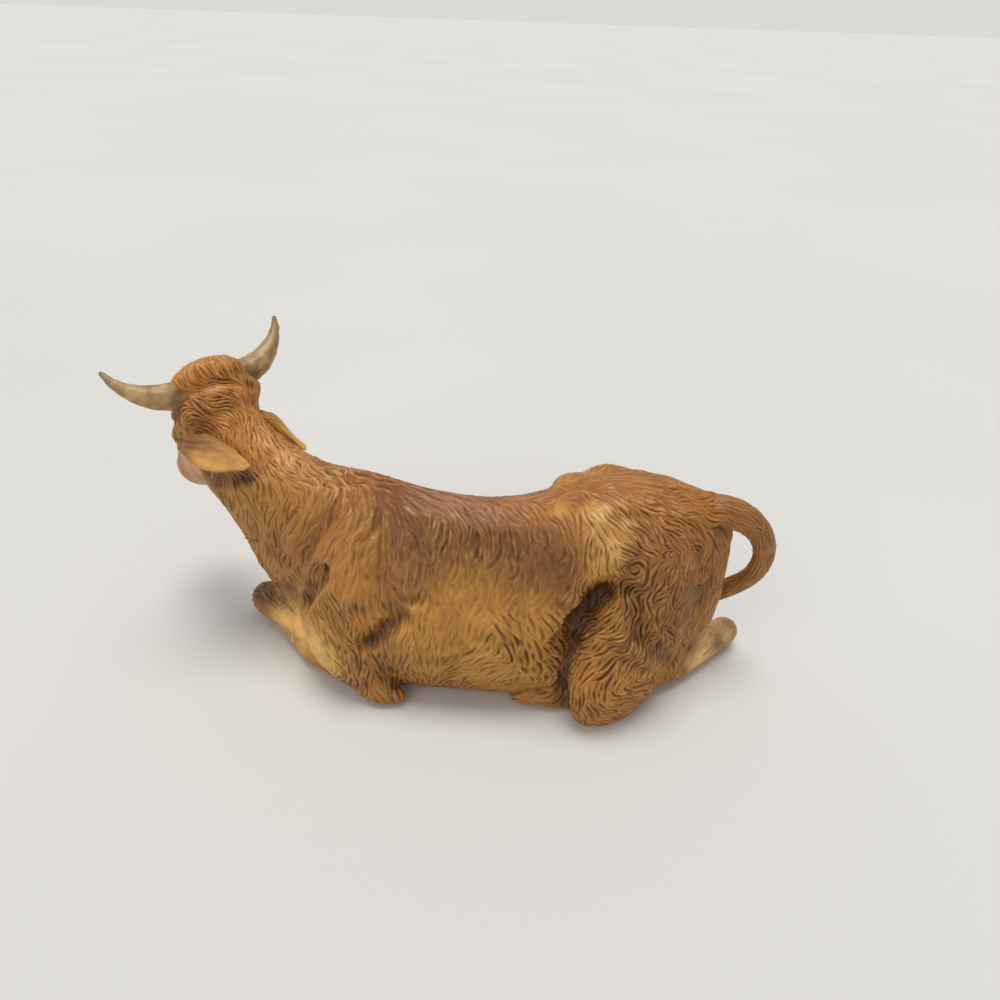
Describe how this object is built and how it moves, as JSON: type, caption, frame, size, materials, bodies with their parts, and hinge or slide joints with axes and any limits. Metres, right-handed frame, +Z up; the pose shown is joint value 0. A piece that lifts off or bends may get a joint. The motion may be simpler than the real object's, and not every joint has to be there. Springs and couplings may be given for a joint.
{
  "type": "animal figurine",
  "caption": "Resting long-horned cow ornament with carved hair, lying on its folded legs with its head turned to its right and its tail in a loop.",
  "frame": {"origin": "on the table, under the middle of the figurine's box", "axes": "+X from the muzzle towards the tail, +Y towards the animal's right side, +Z up"},
  "size_m": [0.1938, 0.0712, 0.0943],
  "materials": {
    "coat": "satin painted casting, brown wash in the carved hair",
    "horn": "satin painted casting, darker at the tips",
    "cover": "matt moulded plate"
  },
  "bodies": {
    "root": {"body": "coat", "base_cover": "cover", "head_and_neck": "coat", "left_horn": "horn", "right_horn": "horn", "left_ear": "coat", "right_ear": "coat", "tail": "coat"}
  },
  "joints": []
}
